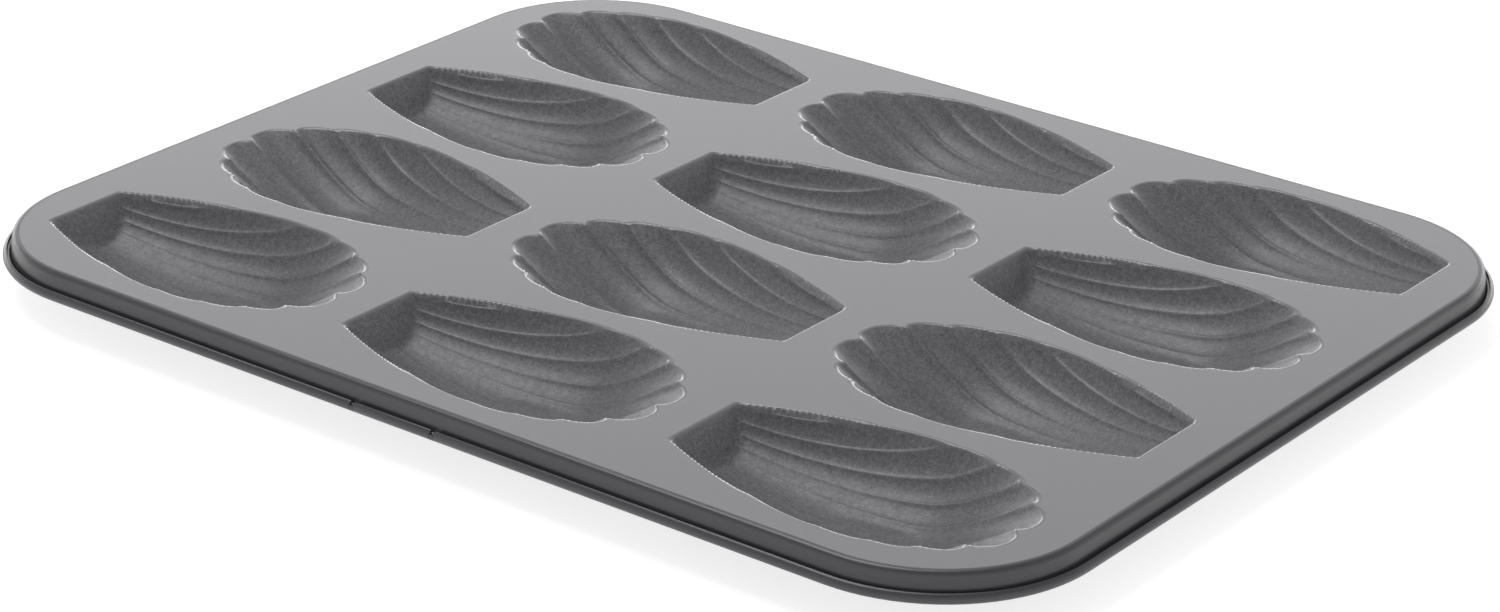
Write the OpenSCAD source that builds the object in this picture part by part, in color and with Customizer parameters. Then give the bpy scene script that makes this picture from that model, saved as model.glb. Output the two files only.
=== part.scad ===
// Madeleine pan: one pressed and coated steel sheet with twelve fluted shell cups,
// a short skirt and a rim that is curled round a wire.
// The pan stands on its twelve cups, so z = 0 is the surface that it stands on.

/* [Deck] */
// Flat deck beyond the outermost cups at each end, up to the bend of its edge
end_margin = 10.1; // [6:0.1:25]
// Flat deck beyond the outermost cups at each side, up to the bend of its edge
side_margin = 6.6; // [4:0.1:20]
// Corner radius of the flat deck
deck_r = 32.5; // [20:0.5:36]
// Thickness of the steel sheet with its coating
sheet_t = 0.6; // [0.4:0.05:1]

/* [Cup grid] */
// Flat deck between the cups of a row, end to end
end_gap = 9.9; // [5:0.1:20]
// Flat deck between the rows, at the widest place of the cups
side_gap = 6.5; // [3:0.1:20]

/* [Cup] */
// Length of a cup from its flat end to its tip, at the deck
cup_l = 76.5; // [70:0.5:78]
// Greatest half width of a cup at the deck
cup_half_w = 22.4; // [20:0.1:23]
// Distance from the flat end to the widest place
cup_wide_at = 45; // [38:0.5:50]
// Half width of the flat end
flat_half_w = 10.2; // [8:0.1:12]
// Depth of a cup at its widest place
cup_depth = 13.5; // [10:0.1:15]
// How much of that depth the small flat foot under the cup takes off
foot_cut = 0.7; // [0.5:0.05:1.2]
// Depth that the bowl would have at its flat end, if no wall cut it
flat_depth = 6.6; // [5:0.1:8]
// Lean of the flat end wall from the vertical
flat_lean = 32; // [20:1:40]
// Width of the bend where the deck turns into a cup
lip_bend = 0.6; // [0.4:0.05:1]

/* [Flutes] */
// Distance from the flat end back to the point that the flutes fan out from
fan_back = 28; // [22:1:40]
// Fan angle from the middle of the cup to its outermost flute
fan_angle = 19.8; // [18:0.1:20]
// Height of the flutes at the tip, from channel to ridge
flute_tip = 1.4; // [0.6:0.1:1.8]
// Height of the flutes near the flat end, from channel to ridge
flute_flat = 0.5; // [0.2:0.05:0.8]
// How far the lobes of the tip swing out and in
lobe = 1; // [0.4:0.1:1.4]

/* [Rim] */
// Outer radius of the bend between deck and skirt
skirt_bend = 1.6; // [1.2:0.1:2.5]
// Depth of the middle of the rim curl below the deck
curl_drop = 4.8; // [4:0.1:8]
// Diameter of the wire inside the curl
wire_d = 1.1; // [0.8:0.05:2]
// Angle at which the raw edge of the curl stops, past the top
curl_end = 94; // [60:1:110]

/* [Hidden] */

coat = "#8e8d92";
coat_cup = "#707176";
coat_rim = "#5c5b60";
steel = "silver";

// Clearance between the wire and the curl round it
wire_gap = 0.02;
// Number of flutes on each half of a cup, and how closely the outer ones lie
flutes = 5;
fan_power = 0.7;
// The flutes up to this one reach the tip, and the others end along the side
tip_flutes = 3;
// How the side and the floor curve towards the flat end
side_power = 1.75;
floor_power = 2;
// Least depth of a point inside the cup, so that no facet lies flat at the deck
least_depth = 0.3;
// Points this close to the foot count as part of it
foot_near = 0.001;

rows_of_cups = 4;
cups_in_row = 3;
pitch_x = cup_l + end_gap;
pitch_y = 2 * cup_half_w + side_gap;
deck_l = (cups_in_row - 1) * pitch_x + cup_l + 2 * end_margin;
deck_w = (rows_of_cups - 1) * pitch_y + 2 * cup_half_w + 2 * side_margin;

foot_depth = cup_depth - foot_cut;
deck_z = foot_depth + sheet_t;
arc_r = (cup_half_w * cup_half_w + cup_depth * cup_depth) / (2 * cup_depth);

// Half width of the cup's mean outline at u, the distance from the flat end
function half_w(u) = u < cup_wide_at
    ? cup_half_w - (cup_half_w - flat_half_w) * pow((cup_wide_at - u) / cup_wide_at, side_power)
    : cup_half_w * sqrt(max(0, 1 - pow((u - cup_wide_at) / (cup_l - cup_wide_at), 2)));
// Depth of the bowl along the middle of the cup
function mid_depth(u) = u < cup_wide_at
    ? cup_depth - (cup_depth - flat_depth) * pow((cup_wide_at - u) / cup_wide_at, floor_power)
    : arc_r - sqrt(arc_r * arc_r - pow(half_w(u), 2));
// Radius of the arc that is the bowl's cross-section at u
function section_r(u) = u < cup_wide_at
    ? (pow(half_w(u), 2) + pow(mid_depth(u), 2)) / (2 * mid_depth(u)) : arc_r;
// Depth of the bowl without flutes
function bowl(u, v) = let (r = section_r(u))
    sqrt(max(0, r * r - v * v)) - r + mid_depth(u);

// Fan angle of flute line k: whole numbers are ridges and halves are channels
function fan_slope(k) = tan(fan_angle * pow(k / flutes, fan_power));
// Flute height at u
function flute_h(u) = flute_flat
    + (flute_tip - flute_flat) * pow(max(0, min(1, u / cup_l)), 2);
// Where line k of the fan meets the mean outline of the tip
function line_end(k) = let (m = fan_slope(k), a = cup_l - cup_wide_at, b = cup_half_w,
        qa = 1 / (a * a) + m * m / (b * b),
        qb = -cup_wide_at / (a * a) + m * m * fan_back / (b * b),
        qc = pow(cup_wide_at / a, 2) + pow(m * fan_back / b, 2) - 1)
    (-qb + sqrt(qb * qb - qa * qc)) / qa;

// Lines across a half cup. The first ones follow the fan, as k. The others share the strip
// between the last of the fan and the side, as the share of its width and ridge or channel.
fan_lines = [for (k = [0 : 0.5 : tip_flutes]) k];
side_share = [0.2, 0.4, 0.6, 0.78, 0.93];
side_ridge = [0, 1, 0, 1, 0.5];
half_n = len(fan_lines) + len(side_share);
// Stations along a line, as shares of the way from the foot of the flat wall to the lip
stations = [0, 0.1, 0.22, 0.36, 0.5, 0.62, 0.73, 0.83, 0.91, 0.965];
rows = len(stations) + 2;
side_end = line_end(tip_flutes);

// 1 on a ridge and 0 in a channel
function ridge_of(n) = n < len(fan_lines)
    ? 1 - 2 * abs(fan_lines[n] - round(fan_lines[n])) : side_ridge[n - len(fan_lines)];
// Half width of line n at u
function line_v(n, u) = n < len(fan_lines) ? fan_slope(fan_lines[n]) * (u + fan_back)
    : let (v0 = fan_slope(tip_flutes) * (u + fan_back), q = side_share[n - len(fan_lines)])
        v0 + (half_w(u) - v0) * q;
// How far line n reaches
function line_reach(n) = n < len(fan_lines)
    ? line_end(fan_lines[n]) + lobe * (0.5 - ridge_of(n)) : side_end;
// Depth of the cup on line n, before the flat wall and the foot cut it
function line_depth(n, u) = let (v = line_v(n, u), s = u / line_reach(n),
        fade = n < len(fan_lines) ? 1 : max(0, 1 - s))
    max(0, bowl(min(u, cup_l), v)) + flute_h(u) * fade * (0.5 - ridge_of(n));
// Where line n meets the flat wall, found by stepping towards it
function wall_foot(n, u = 4, left = 8) = left == 0 ? u
    : wall_foot(n, tan(flat_lean) * line_depth(n, u), left - 1);

// Point on the top face of the cup: line n, row j, from the flat end to the tip
function top_point(n, j) =
    n == half_n ? rim_point(j)
    : j == 0 ? [-lip_bend, line_v(n, 0), 0]
    : j == rows - 1 ? let (u = line_reach(n) + lip_bend) [u, line_v(min(n, len(fan_lines) - 1), u), 0]
    : let (u0 = wall_foot(n), s = stations[j - 1], u1 = line_reach(n),
        u = u0 + (u1 - u0) * s)
      [u, line_v(n, u), -min(foot_depth, max(line_depth(n, u), least_depth))];
// Point of the rim along the side of the cup
function rim_point(j) =
    j == 0 ? [-lip_bend, flat_half_w + lip_bend / 2, 0]
    : j == rows - 1 ? let (u = side_end + lip_bend) [u, fan_slope(tip_flutes) * (u + fan_back), 0]
    : let (s = stations[j - 1], u = 1 + (side_end - 1) * s) [u, half_w(u) + lip_bend, 0];

// All lines from one side to the other, mirrored about the middle
cols = 2 * half_n + 1;
function grid_point(i, j) = let (n = abs(i - half_n), p = top_point(n, j))
    [p.x, i < half_n ? -p.y : p.y, p.z];
// On the side, the last row is one point: every line there ends where the fan's last line ends
function col_at(i, j) = j < rows - 1 ? i
    : min(max(i, half_n - len(fan_lines) + 1), half_n + len(fan_lines) - 1);
function index(i, j) = j * cols + col_at(i, j);
function on_rim(i, j) = i == 0 || i == cols - 1 || j == 0 || j == rows - 1;
// Outward direction below the sheet, from the neighbours of the point
function below(top, i, j) = on_rim(i, j) || top[index(i, j)].z < foot_near - foot_depth ? [0, 0, -1]
    : let (a = top[index(i + 1, j)] - top[index(i - 1, j)],
           b = top[index(i, j + 1)] - top[index(i, j - 1)], c = cross(a, b)) c / norm(c);
function under(top, i, j) = let (p = top[j * cols + i] + below(top, i, j) * sheet_t)
    [p.x, p.y, max(p.z, -deck_z)];

function tri(a, b, c) = a == b || b == c || a == c ? [] : [[a, b, c]];
function quad(a, b, c, d) = concat(tri(a, b, c), tri(a, c, d));
// Rim of the cup in order, once round
rim_loop = concat(
    [for (j = [0 : rows - 1]) index(cols - 1, j)],
    [for (i = [half_n + len(fan_lines) - 2 : -1 : half_n - len(fan_lines) + 1]) index(i, rows - 1)],
    [for (j = [rows - 2 : -1 : 0]) index(0, j)],
    [for (i = [1 : cols - 2]) index(i, 0)]);

cup_top = [for (j = [0 : rows - 1]) for (i = [0 : cols - 1]) grid_point(i, j)];
cup_under = [for (j = [0 : rows - 1]) for (i = [0 : cols - 1]) under(cup_top, i, j)];
count = rows * cols;

module cup_shell() {
    polyhedron(points = concat(cup_top, cup_under), faces = concat(
        [for (j = [0 : rows - 2]) for (i = [0 : cols - 2])
            each quad(index(i, j), index(i + 1, j), index(i + 1, j + 1), index(i, j + 1))],
        [for (j = [0 : rows - 2]) for (i = [0 : cols - 2])
            each quad(count + index(i, j), count + index(i, j + 1),
                      count + index(i + 1, j + 1), count + index(i + 1, j))],
        [for (k = [0 : len(rim_loop) - 1])
            let (a = rim_loop[k], b = rim_loop[(k + 1) % len(rim_loop)])
            each quad(a, count + a, count + b, b)]));
}

// Rows a to d run from front to back, and every second row is turned round
function cup_x(col) = (col - (cups_in_row - 1) / 2) * pitch_x;
function cup_y(row) = (row - (rows_of_cups - 1) / 2) * pitch_y;
module cup(row, col) {
    color(coat_cup) translate([cup_x(col), cup_y(row), deck_z])
        rotate([0, 0, 180 * (row % 2)]) translate([-cup_l / 2, 0, 0]) cup_shell();
}
cup_outline = [for (k = rim_loop) [cup_top[k].x - cup_l / 2, cup_top[k].y]];

module deck_outline(grow = 0) {
    hull_x = deck_l / 2 - deck_r;
    hull_y = deck_w / 2 - deck_r;
    for (sx = [-1, 1]) for (sy = [-1, 1])
        translate([sx * hull_x, sy * hull_y]) circle(r = deck_r + grow, $fn = 96);
    square([2 * hull_x, deck_w + 2 * grow], center = true);
    square([deck_l + 2 * grow, 2 * hull_y], center = true);
}
module deck() {
    color(coat) translate([0, 0, deck_z - sheet_t]) linear_extrude(sheet_t) difference() {
        deck_outline();
        for (row = [0 : rows_of_cups - 1]) for (col = [0 : cups_in_row - 1])
            translate([cup_x(col), cup_y(row)]) rotate(180 * (row % 2)) polygon(cup_outline);
    }
}

// Cross-section of the edge: x runs outwards from the edge of the flat deck, y is height
wire_r = wire_d / 2;
curl_in = wire_r + wire_gap;
curl_out = curl_in + sheet_t;
skirt_x = skirt_bend;
curl_x = skirt_x + curl_in;
module edge_section() {
    difference() {
        translate([0, -skirt_bend]) intersection() {
            circle(r = skirt_bend, $fn = 96);
            square(2 * skirt_bend);
        }
        translate([0, -skirt_bend]) circle(r = skirt_bend - sheet_t, $fn = 96);
    }
    translate([skirt_x - sheet_t, -curl_drop]) square([sheet_t, curl_drop - skirt_bend]);
    translate([curl_x, -curl_drop]) difference() {
        circle(r = curl_out, $fn = 96);
        circle(r = curl_in, $fn = 96);
        intersection() {
            rotate(curl_end) square(2 * curl_out);
            translate([-2 * curl_out, 0]) square(2 * curl_out);
        }
    }
}
// Sweeps a section round the edge of the deck
module sweep_edge() {
    hull_x = deck_l / 2 - deck_r;
    hull_y = deck_w / 2 - deck_r;
    for (turn = [0 : 3]) {
        even = turn % 2 == 0;
        reach = even ? deck_l / 2 : deck_w / 2;
        run = even ? 2 * hull_y : 2 * hull_x;
        rotate(90 * turn) {
            translate([reach, 0, 0]) rotate([90, 0, 0]) linear_extrude(run, center = true) children();
            translate([reach - deck_r, run / 2, 0]) rotate_extrude(angle = 90, $fn = 96)
                translate([deck_r, 0]) children();
        }
    }
}
module rolled_rim() {
    color(coat_rim) translate([0, 0, deck_z]) sweep_edge() edge_section();
}
module rim_wire() {
    color(steel) translate([0, 0, deck_z]) sweep_edge()
        translate([curl_x, -curl_drop]) circle(r = wire_r, $fn = 48);
}

deck();
rolled_rim();
rim_wire();
cup(0, 0);  // cup_a1
cup(0, 1);  // cup_a2
cup(0, 2);  // cup_a3
cup(1, 0);  // cup_b1
cup(1, 1);  // cup_b2
cup(1, 2);  // cup_b3
cup(2, 0);  // cup_c1
cup(2, 1);  // cup_c2
cup(2, 2);  // cup_c3
cup(3, 0);  // cup_d1
cup(3, 1);  // cup_d2
cup(3, 2);  // cup_d3
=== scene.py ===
from math import cos, exp, pi, radians, sin, sqrt, tan

import bmesh
import bpy
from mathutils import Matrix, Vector
from mathutils.geometry import delaunay_2d_cdt


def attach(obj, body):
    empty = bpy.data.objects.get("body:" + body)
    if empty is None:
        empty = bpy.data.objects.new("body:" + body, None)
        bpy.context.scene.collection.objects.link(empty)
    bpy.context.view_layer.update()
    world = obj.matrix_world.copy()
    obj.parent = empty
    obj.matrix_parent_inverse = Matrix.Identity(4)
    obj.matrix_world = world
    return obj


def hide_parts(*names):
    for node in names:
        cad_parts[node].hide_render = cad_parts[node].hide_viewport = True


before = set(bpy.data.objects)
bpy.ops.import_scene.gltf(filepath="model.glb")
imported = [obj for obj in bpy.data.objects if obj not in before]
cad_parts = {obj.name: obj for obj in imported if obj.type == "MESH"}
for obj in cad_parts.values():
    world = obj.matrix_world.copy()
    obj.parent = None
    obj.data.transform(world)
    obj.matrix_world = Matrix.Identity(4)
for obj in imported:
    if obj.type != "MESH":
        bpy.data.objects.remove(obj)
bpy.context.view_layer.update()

# Sizes, in millimetres as in the part's source. MM turns them into metres.
MM = 0.001
DECK_L = 269.5
DECK_W = 211.9
DECK_R = 32.5
SHEET_T = 0.6
PITCH_X = 86.4
PITCH_Y = 51.3
CUP_L = 76.5
CUP_HALF_W = 22.4
CUP_WIDE_AT = 45.0
FLAT_HALF_W = 10.2
CUP_DEPTH = 13.5
FOOT_CUT = 0.7
FLAT_DEPTH = 6.6
FLAT_LEAN = 32.0
FAN_BACK = 28.0
FAN_ANGLE = 19.8
FAN_POWER = 0.7
FLUTES = 5             # on each half of a cup, besides the one in the middle
SIDE_POWER = 1.75      # how a cup's side curves towards the flat end
SKIRT_BEND = 1.6
BEND_R = 1.15              # the skirt leans out from the bend to the curl
CURL_DROP = 4.8
CURL_IN = 0.57
CURL_END = 80.0
ROW_NAMES = "abcd"
COLUMNS = 3

DECK_Z = CUP_DEPTH - FOOT_CUT + SHEET_T
ARC_R = (CUP_HALF_W ** 2 + CUP_DEPTH ** 2) / (2 * CUP_DEPTH)

# Looks of the cup that the solids leave out
FLUTE_TIP = 1.9        # height of the flutes at the tip, from channel to ridge
FLUTE_FLAT = 0.03      # and near the flat end, in the middle of the cup
FLUTE_SIDE = 0.85      # and near the flat end, along the sides
SIDE_FADE = 4          # how fast that height falls towards the middle
TIP_GROWTH = 3         # how late the flutes grow towards the tip
RIDGE_SHARE = 0.6      # share of a flute's height that is a narrow ridge
RIDGE_WIDTH = 0.2      # how narrow, against the way from ridge to channel
WALL_AT = 0.5          # where the flat end wall would meet the deck without a bend
LIP_SIDE = 0.5         # height over which the deck bends into the side of a cup
LIP_TIP = 0.17         # and into its tip
CREASE = 0.22          # rounding between the flat end wall and the bowl
LIP_RINGS = (-1.0, -0.6, -0.2, 0.25, 0.8)        # rings of points across the bend of a lip
LIP_CLEAR = 0.5        # the lines across the cup stop this far below a lip
FLAT_RING = 0.4        # level strip of deck that a cup's piece starts with
LINE_STEPS = (0, 0.08, 0.17, 0.28, 0.42, 0.7)    # mesh lines from a ridge to the next channel
STATION = 1.3          # distance between points along a mesh line
LIP_POINTS = 200       # points round a lip
LIP_BAND = 0.85        # share of a lip's height that is as smooth as the deck
EDGE_ANGLE = 62.0      # edges sharper than this, in degrees, aren't smoothed over


# The cup as a height field: u runs from the flat end to the tip, v across.
def half_w2(u):
    """Half width of the cup's mean outline, squared."""
    if u < CUP_WIDE_AT:
        share = (CUP_WIDE_AT - max(u, 0)) / CUP_WIDE_AT
        return (CUP_HALF_W - (CUP_HALF_W - FLAT_HALF_W) * share ** SIDE_POWER) ** 2
    share = (u - CUP_WIDE_AT) / (CUP_L - CUP_WIDE_AT)
    return CUP_HALF_W ** 2 * (1 - share * share)


def bowl(u, v):
    """Depth of the smooth bowl. It is negative outside the outline."""
    w2 = half_w2(u)
    if u >= CUP_WIDE_AT:
        return sqrt(max(ARC_R ** 2 - v * v, 0)) - sqrt(ARC_R ** 2 - w2)
    share = (CUP_WIDE_AT - max(u, 0)) / CUP_WIDE_AT
    mid = CUP_DEPTH - (CUP_DEPTH - FLAT_DEPTH) * share ** 2
    r = (w2 + mid * mid) / (2 * mid)
    return sqrt(max(r * r - v * v, 0)) - r + mid


# Slopes of the fan lines: ridge, channel, ridge and so on from the middle outwards
NODES = [tan(radians(FAN_ANGLE) * (i / 2 / FLUTES) ** FAN_POWER) for i in range(2 * FLUTES + 3)]


def flute(u, v):
    """1 on a ridge, -1 in a channel, with nearly flat sides between them."""
    m = abs(v) / (u + FAN_BACK)
    for i in range(len(NODES) - 1):
        if m < NODES[i + 1]:
            break
    else:
        return 0.0
    x = (m - NODES[i]) / (NODES[i + 1] - NODES[i])
    if i % 2 == 1:
        x = 1 - x
    broad = cos(pi * x)
    narrow = 2 * exp(-(x / RIDGE_WIDTH) ** 2) - 1
    return broad + (narrow - broad) * RIDGE_SHARE


def flute_h(u, v):
    share = max(0, min(1, u / CUP_L))
    side = min(1, abs(v) / (u + FAN_BACK) / NODES[2 * FLUTES]) ** SIDE_FADE if u > 0 else 1
    flat = FLUTE_FLAT + (FLUTE_SIDE - FLUTE_FLAT) * side
    return flat + (FLUTE_TIP - flat) * share ** TIP_GROWTH


def soft_min(a, b, width):
    gap = max(width - abs(a - b), 0)
    return min(a, b) - gap * gap / (4 * width)


def depth(u, v):
    """Depth of the cup, negative outside it."""
    inside = bowl(u, v) - flute_h(u, v) / 2 * flute(u, v)
    wall = (u - WALL_AT) / tan(radians(FLAT_LEAN))
    return min(soft_min(inside, wall, CREASE), CUP_DEPTH - FOOT_CUT)


def lip(u):
    """Height over which the deck bends into the cup."""
    share = max(u - CUP_WIDE_AT, 0) / (CUP_L - CUP_WIDE_AT)
    return LIP_TIP + (LIP_SIDE - LIP_TIP) * max(0, 1 - share * share)


def height(u, v):
    """Height of the sheet's top face, 0 on the deck."""
    d = depth(u, v)
    w = lip(u)
    if d >= w:
        return -d
    return -(d + w) ** 2 / (4 * w) if d > -w else 0.0


CENTRE_U = 42.0
RAY_NEAR, RAY_FAR = 5.0, 60.0      # every lip point is between these distances from the middle
RAY_CROWDING = 0.22                # more directions towards the two ends, where the outline is far away
HALVINGS = 40
OUTSIDE = 6.0                      # beyond both ends by this much a point is outside for certain


def ring(level):
    """Points round the cup where depth = level(u), in directions from the middle, by halving."""
    points = []
    for i in range(LIP_POINTS):
        a = 2 * pi * i / LIP_POINTS
        a -= RAY_CROWDING * sin(2 * a)
        near, far = RAY_NEAR, RAY_FAR
        for _ in range(HALVINGS):
            r = (near + far) / 2
            u, v = CENTRE_U + r * cos(a), r * sin(a)
            inside = abs(v) < ARC_R and -OUTSIDE < u < CUP_L + OUTSIDE
            if inside and depth(u, v) > level(u):
                near = r
            else:
                far = r
        points.append((CENTRE_U + near * cos(a), near * sin(a)))
    return points


WALL_STATIONS = (0.25, 0.5, 0.75, 0.93, 1.07)    # shares of the way to the wall's foot
AFTER_FOOT = 0.9


def wall_foot(m):
    """Where line m of the fan meets the flat end wall, by stepping towards it."""
    u = 4.0
    for _ in range(12):
        u = tan(radians(FLAT_LEAN)) * max(bowl(u, m * (u + FAN_BACK)), 0.5)
    return u


def cup_points():
    """All points of one cup in plan, the lines that join them, and the outermost ring."""
    rings = [ring(lambda u, s=s: s * lip(u)) for s in LIP_RINGS]
    outer = []
    for u, v in rings[0]:
        d = Vector((u - CENTRE_U, v))
        d.normalize()
        outer.append((u + d.x * FLAT_RING, v + d.y * FLAT_RING))
    points = outer + [p for r in rings for p in r]
    edges = []
    lines = []
    for i in range(len(NODES) - 1):
        for share in LINE_STEPS:
            start, end = (NODES[i], NODES[i + 1]) if i % 2 == 0 else (NODES[i + 1], NODES[i])
            lines.append(start + (end - start) * share)
    for m in sorted(set(lines + NODES)):
        for side in ((1,) if m == 0 else (1, -1)):
            foot = wall_foot(m)
            stations = [foot * s for s in WALL_STATIONS]
            u = foot + AFTER_FOOT
            while u < CUP_L + 1:
                stations.append(u)
                u += STATION
            joined = False
            for u in stations:
                v = side * m * (u + FAN_BACK)
                fits = abs(v) < ARC_R and depth(u, v) > lip(u) + LIP_CLEAR
                if fits:
                    points.append((u, v))
                    if joined:
                        edges.append((len(points) - 2, len(points) - 1))
                joined = fits
    return points, edges, outer


CUP_XY, CUP_EDGES, CUP_OUTER = cup_points()


def triangulate(points, edges, keep):
    """Triangles over points in plan that keep to the edges, without those whose middle fails keep."""
    out = delaunay_2d_cdt([Vector(p) for p in points], edges, [], 0, 1e-6)
    verts, faces = out[0], out[2]
    kept = []
    for f in faces:
        mid = sum((verts[i] for i in f), Vector((0, 0))) / len(f)
        if keep(mid.x, mid.y):
            kept.append(tuple(f))
    return [(v.x, v.y) for v in verts], kept


def in_polygon(x, y, polygon):
    inside = False
    j = len(polygon) - 1
    for i, (xi, yi) in enumerate(polygon):
        xj, yj = polygon[j]
        if (yi > y) != (yj > y) and x < (xj - xi) * (y - yi) / (yj - yi) + xi:
            inside = not inside
        j = i
    return inside


def make(name, verts, faces, nodes, material, lip_material=None, lip_faces=()):
    """A sheet-metal piece from its top face, in millimetres, that stands for the nodes."""
    mesh = bpy.data.meshes.new(name)
    mesh.from_pydata([(x * MM, y * MM, z * MM) for x, y, z in verts], [], faces)
    bm = bmesh.new()
    bm.from_mesh(mesh)
    loose = [v for v in bm.verts if not v.link_faces]
    bmesh.ops.delete(bm, geom=loose, context="VERTS")
    bm.faces.ensure_lookup_table()
    for f in bm.faces:
        f.smooth = True
    for i in lip_faces:
        bm.faces[i].material_index = 1
    bm.to_mesh(mesh)
    bm.free()
    obj = bpy.data.objects.new(name, mesh)
    bpy.context.scene.collection.objects.link(obj)
    mesh.materials.append(material)
    if lip_material:
        mesh.materials.append(lip_material)
    thick = obj.modifiers.new("sheet", "SOLIDIFY")
    thick.thickness = SHEET_T * MM
    thick.offset = -1
    thick.use_even_offset = False
    thick.use_rim = True
    bpy.context.view_layer.objects.active = obj
    obj.select_set(True)
    bpy.ops.object.modifier_apply(modifier="sheet")
    obj.select_set(False)
    for v in obj.data.vertices:
        v.co.z = max(v.co.z, 0.0)
    obj.data.set_sharp_from_angle(angle=radians(EDGE_ANGLE))
    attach(obj, "root")
    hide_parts(*nodes)
    return obj


# Materials
def new_material(name):
    mat = bpy.data.materials.new(name)
    mat.use_nodes = True
    nodes = mat.node_tree.nodes
    return mat, nodes, mat.node_tree.links, nodes["Principled BSDF"]


def coating(name, colour, speck, spread, rough, rough_spread, bump):
    """Baked-on non-stick coating: a fine speckle, a slow change of tone, and a faint orange peel."""
    mat, nodes, links, shader = new_material(name)
    where = nodes.new("ShaderNodeTexCoord").outputs["Object"]

    def noise(scale, detail, roughness=0.6):
        n = nodes.new("ShaderNodeTexNoise")
        n.inputs["Scale"].default_value = scale
        n.inputs["Detail"].default_value = detail
        n.inputs["Roughness"].default_value = roughness
        links.new(where, n.inputs["Vector"])
        return n.outputs["Fac"]

    def ramp(source, lo, hi, a, b):
        r = nodes.new("ShaderNodeMapRange")
        r.inputs["From Min"].default_value = lo
        r.inputs["From Max"].default_value = hi
        r.inputs["To Min"].default_value = a
        r.inputs["To Max"].default_value = b
        links.new(source, r.inputs["Value"])
        return r.outputs["Result"]

    def times(a, b):
        m = nodes.new("ShaderNodeMath")
        m.operation = "MULTIPLY"
        links.new(a, m.inputs[0])
        links.new(b, m.inputs[1])
        return m.outputs[0]

    fine = ramp(noise(2100, 2), 0.3, 0.7, 1 - speck, 1 + speck)
    grit = ramp(noise(900, 3, 0.7), 0.35, 0.65, 1 - speck * 0.6, 1 + speck * 0.6)
    slow = ramp(noise(16, 3), 0.3, 0.7, 1 - spread, 1 + spread)
    tone = times(times(fine, grit), slow)
    mix = nodes.new("ShaderNodeVectorMath")
    mix.operation = "SCALE"
    mix.inputs[0].default_value = colour
    links.new(tone, mix.inputs["Scale"])
    links.new(mix.outputs["Vector"], shader.inputs["Base Color"])
    dull = ramp(noise(700, 3), 0.3, 0.7, rough - rough_spread, rough + rough_spread)
    links.new(dull, shader.inputs["Roughness"])
    shader.inputs["Specular IOR Level"].default_value = 0.5
    peel = nodes.new("ShaderNodeBump")
    peel.inputs["Strength"].default_value = bump
    peel.inputs["Distance"].default_value = 0.0001
    links.new(noise(1500, 3), peel.inputs["Height"])
    links.new(peel.outputs["Normal"], shader.inputs["Normal"])
    return mat


DECK_COAT = coating("deck_coating", (0.150, 0.149, 0.161), 0.012, 0.02, 0.31, 0.008, 0.0)
CUP_COAT = coating("cup_coating", (0.104, 0.103, 0.113), 0.32, 0.03, 0.44, 0.06, 0.30)
LIP_COAT = coating("lip_coating", (0.150, 0.149, 0.161), 0.012, 0.02, 0.2, 0.008, 0.0)
# Painted shade: the rim is the same coated sheet as the deck, but its colour is made much darker for
# the shade in the groove under the deck's edge and on the skirt and curl
RIM_COAT_PAINTED_SHADE = coating("rim_coating_painted_shade", (0.040, 0.0395, 0.044), 0.06, 0.03, 0.32, 0.03, 0.08)


def drawn_steel_painted_shade():
    """Bare wire with fine marks along and round it; its colour is darkened as painted shade, for the
    wire in the shade of the curl.
    """
    mat, nodes, links, shader = new_material("wire_steel_painted_shade")
    shader.inputs["Metallic"].default_value = 1.0
    # Painted shade: a colour far darker than bare steel, for the wire lying in shade inside the curl
    # and its nicks
    shader.inputs["Base Color"].default_value = (0.16, 0.157, 0.155, 1)
    where = nodes.new("ShaderNodeTexCoord")
    grain = nodes.new("ShaderNodeTexNoise")
    grain.inputs["Scale"].default_value = 1800
    grain.inputs["Detail"].default_value = 3
    links.new(where.outputs["Object"], grain.inputs["Vector"])
    worn = nodes.new("ShaderNodeMapRange")
    worn.inputs["To Min"].default_value = 0.25
    worn.inputs["To Max"].default_value = 0.5
    links.new(grain.outputs["Fac"], worn.inputs["Value"])
    links.new(worn.outputs["Result"], shader.inputs["Roughness"])
    return mat


# The cups
ROWS = len(ROW_NAMES)


def cup_middle(row, col):
    return ((col - (COLUMNS - 1) / 2) * PITCH_X, (row - (ROWS - 1) / 2) * PITCH_Y)


def to_pan(row, col, u, v):
    """Plan position in the pan of the point u, v of a cup. Every second row is turned round."""
    turn = 1 if row % 2 == 0 else -1
    x, y = cup_middle(row, col)
    return (x + turn * (u - CUP_L / 2), y + turn * v)


cup_xy, cup_faces = triangulate(CUP_XY, CUP_EDGES, lambda u, v: in_polygon(u, v, CUP_OUTER))
cup_z = [height(u, v) for u, v in cup_xy]
on_lip = [depth(u, v) <= LIP_BAND * lip(u) for u, v in cup_xy]
lip_faces = [i for i, f in enumerate(cup_faces) if all(on_lip[j] for j in f)]
for row, letter in enumerate(ROW_NAMES):
    for col in range(COLUMNS):
        verts = [(*to_pan(row, col, u, v), DECK_Z + z) for (u, v), z in zip(cup_xy, cup_z)]
        tag = f"{letter}{col + 1}"
        make(f"shell_cup_{tag}", verts, cup_faces, [f"cup_{tag}"], CUP_COAT, LIP_COAT, lip_faces)


# The edge of the deck: points once round it, each with its outward direction
CORNER_STEPS = 20
NOTCHES = (-15.9, 5.5)     # places along the front edge where the curl's raw edge is nicked
NOTCH_HALF = 0.5
NOTCH_SIDE = 0.15          # length over which a nick's side slopes
NOTCH_CUT = 62             # degrees of the curl that a nick takes away


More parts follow.
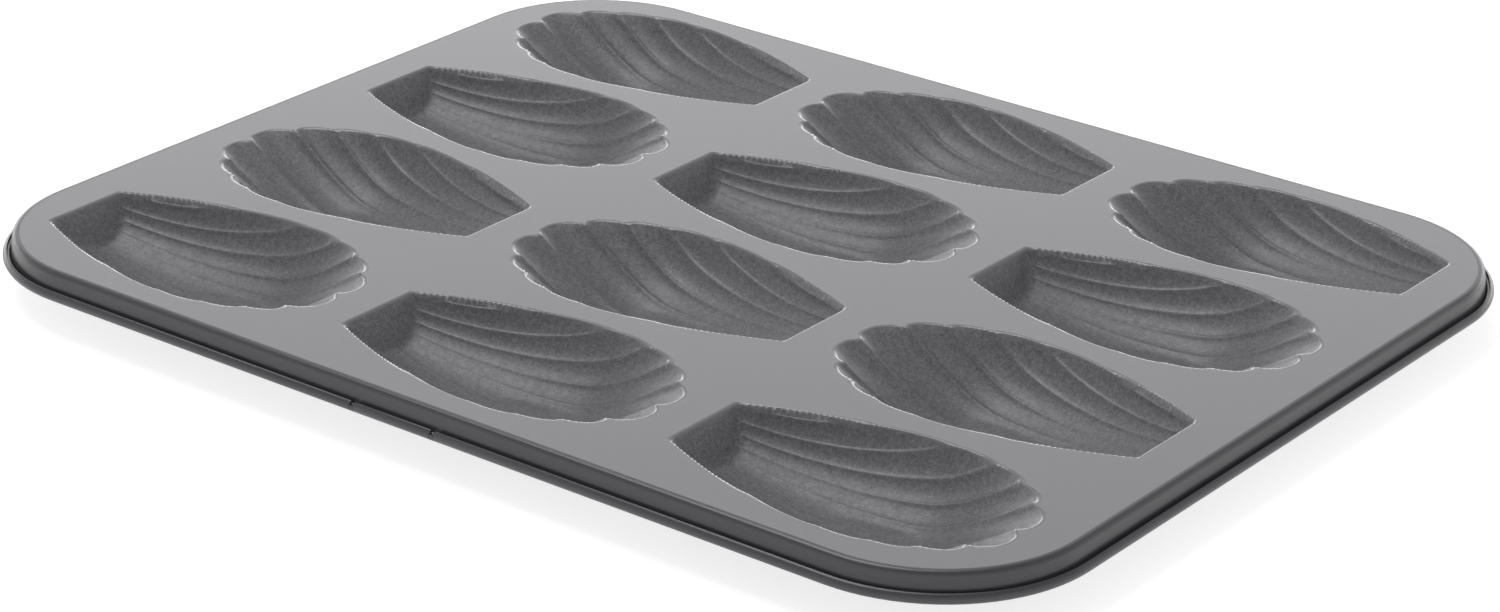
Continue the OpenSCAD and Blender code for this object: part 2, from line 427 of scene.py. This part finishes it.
def edge_loop():
    hx, hy = DECK_L / 2 - DECK_R, DECK_W / 2 - DECK_R
    points = []
    for quarter, (sx, sy) in enumerate(((1, 1), (-1, 1), (-1, -1), (1, -1))):
        for i in range(CORNER_STEPS + 1):
            a = pi / 2 * (quarter + i / CORNER_STEPS)
            n = (cos(a), sin(a))
            points.append((sx * hx + DECK_R * n[0], sy * hy + DECK_R * n[1], n[0], n[1]))
        if quarter == 2:
            stops = []
            for x in NOTCHES:
                wide = NOTCH_HALF + NOTCH_SIDE
                stops += [x - wide, x - NOTCH_HALF, x + NOTCH_HALF, x + wide]
            for x in stops:
                points.append((x, -DECK_W / 2, 0.0, -1.0))
    return points


LOOP = edge_loop()
INSET = 0.5
deck_outer = [(x - nx * INSET, y - ny * INSET) for x, y, nx, ny in LOOP]

# The deck: flat, with its twelve openings
HOLE_REACH = 3.0           # how far a hole can lie outside the box of its cup
holes = {}
for row in range(ROWS):
    for col in range(COLUMNS):
        holes[row, col] = [to_pan(row, col, u, v) for u, v in CUP_OUTER]
deck_points = deck_outer + [p for h in holes.values() for p in h]


def on_deck(x, y):
    if not in_polygon(x, y, deck_outer):
        return False
    for (row, col), hole in holes.items():
        cx, cy = cup_middle(row, col)
        near = abs(x - cx) < CUP_L / 2 + HOLE_REACH and abs(y - cy) < CUP_HALF_W + HOLE_REACH
        if near and in_polygon(x, y, hole):
            return False
    return True


deck_xy, deck_faces = triangulate(deck_points, [], on_deck)
make("deck_sheet", [(x, y, DECK_Z) for x, y in deck_xy], deck_faces, ["deck"], DECK_COAT)


# The skirt and the curl: a cross-section swept round, s outwards and z from the deck's top
BEND_STEPS = 8
SKIRT_STEPS = (0.3, 0.6, 0.85)
CURL_STEPS = 26


def edge_section(end):
    section = [(-INSET, 0.0)]
    for i in range(BEND_STEPS + 1):
        a = pi / 2 * (1 - i / BEND_STEPS)
        section.append((BEND_R * cos(a), BEND_R * (sin(a) - 1)))
    for share in SKIRT_STEPS:
        section.append((BEND_R + (SKIRT_BEND - BEND_R) * share,
                        -BEND_R - (CURL_DROP - BEND_R) * share))
    curl_x = SKIRT_BEND + CURL_IN
    for i in range(CURL_STEPS + 1):
        a = radians(180 + (180 + end) * i / CURL_STEPS)
        section.append((curl_x + CURL_IN * cos(a), -CURL_DROP + CURL_IN * sin(a)))
    return section


def curl_end_at(x, ny):
    """Where the raw edge stops: it is cut back at the nicks of the front edge."""
    for notch in NOTCHES:
        if ny == -1.0 and abs(x - notch) <= NOTCH_HALF + 1e-6:
            return CURL_END - NOTCH_CUT
    return CURL_END


rim_verts, rim_faces = [], []
width = len(edge_section(CURL_END))
for x, y, nx, ny in LOOP:
    for s, z in edge_section(curl_end_at(x, ny)):
        rim_verts.append((x + nx * s, y + ny * s, DECK_Z + z))
for i in range(len(LOOP)):
    for j in range(width - 1):
        a, b = i * width + j, ((i + 1) % len(LOOP)) * width + j
        rim_faces.append((a, a + 1, b + 1, b))
make("rim_sheet", rim_verts, rim_faces, ["rolled_rim"], RIM_COAT_PAINTED_SHADE)

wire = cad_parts["rim_wire"]
wire.data.materials.clear()
wire.data.materials.append(drawn_steel_painted_shade())

# Floor, light and camera
floor_mesh = bpy.data.meshes.new("floor")
FLOOR = 6.0
floor_mesh.from_pydata([(-FLOOR, -FLOOR, 0), (FLOOR, -FLOOR, 0), (FLOOR, FLOOR, 0), (-FLOOR, FLOOR, 0)],
                       [], [(0, 1, 2, 3)])
floor = bpy.data.objects.new("floor", floor_mesh)
floor.location.z = -0.0002
bpy.context.scene.collection.objects.link(floor)
floor_mat, _, _, floor_shader = new_material("floor_paper")
floor_shader.inputs["Base Color"].default_value = (0.5, 0.5, 0.5, 1)
floor_shader.inputs["Emission Color"].default_value = (1, 1, 1, 1)
floor_shader.inputs["Emission Strength"].default_value = 0.75
floor_shader.inputs["Roughness"].default_value = 0.9
floor_shader.inputs["Specular IOR Level"].default_value = 0.1
floor_mesh.materials.append(floor_mat)

WALL_GLOW = 0.9
SKY_GLOW = 0.42
STRIP_GLOW = 2.6
BEHIND = (-0.61, 0.79, 0.0)
world = bpy.data.worlds.new("studio")
bpy.context.scene.world = world
world.use_nodes = True
world_nodes, world_links = world.node_tree.nodes, world.node_tree.links
sky = world_nodes["Background"]
sky.inputs["Color"].default_value = (1, 1, 1, 1)
# White walls all round, brighter low down than overhead, with a bright strip low behind the pan
direction = world_nodes.new("ShaderNodeTexCoord").outputs["Generated"]


def world_range(source, from_min, from_max, to_min, to_max):
    node = world_nodes.new("ShaderNodeMapRange")
    limits = {"From Min": from_min, "From Max": from_max, "To Min": to_min, "To Max": to_max}
    for name, value in limits.items():
        node.inputs[name].default_value = value
    world_links.new(source, node.inputs["Value"])
    return node.outputs["Result"]


def world_math(operation, a, b):
    node = world_nodes.new("ShaderNodeMath")
    node.operation = operation
    world_links.new(a, node.inputs[0])
    world_links.new(b, node.inputs[1])
    return node.outputs[0]


split = world_nodes.new("ShaderNodeSeparateXYZ")
world_links.new(direction, split.inputs["Vector"])
behind = world_nodes.new("ShaderNodeVectorMath")
behind.operation = "DOT_PRODUCT"
behind.inputs[1].default_value = BEHIND
world_links.new(direction, behind.inputs[0])
walls = world_range(split.outputs["Z"], 0.3, 0.75, WALL_GLOW, SKY_GLOW)
low = world_range(split.outputs["Z"], 0.36, 0.22, 0, STRIP_GLOW)
back = world_range(behind.outputs["Value"], 0.35, 0.8, 0, 1)
strip = world_math("MULTIPLY", low, back)
world_links.new(world_math("ADD", walls, strip), sky.inputs["Strength"])


def softbox(name, place, target, size, power):
    light = bpy.data.lights.new(name, "AREA")
    light.shape = "RECTANGLE"
    light.size, light.size_y = size
    light.energy = power
    obj = bpy.data.objects.new(name, light)
    obj.location = place
    obj.rotation_euler = (Vector(target) - Vector(place)).to_track_quat("-Z", "Y").to_euler()
    bpy.context.scene.collection.objects.link(obj)


softbox("overhead", (-0.45, 0.1, 1.2), (0, 0, 0), (0.9, 0.7), 9)

CAMERA_AT = (0.51400, -0.67432, 0.37341)
CAMERA_TURN = (66.1240, -0.8808, 37.6376)
LENS = 101.937
camera = bpy.data.objects.new("camera", bpy.data.cameras.new("camera"))
camera.data.sensor_fit = "HORIZONTAL"
camera.data.sensor_width = 36
camera.data.lens = LENS
camera.data.clip_start = 0.01
camera.location = CAMERA_AT
camera.rotation_euler = [radians(a) for a in CAMERA_TURN]
bpy.context.scene.collection.objects.link(camera)
bpy.context.scene.camera = camera
bpy.context.scene.view_settings.view_transform = "Standard"
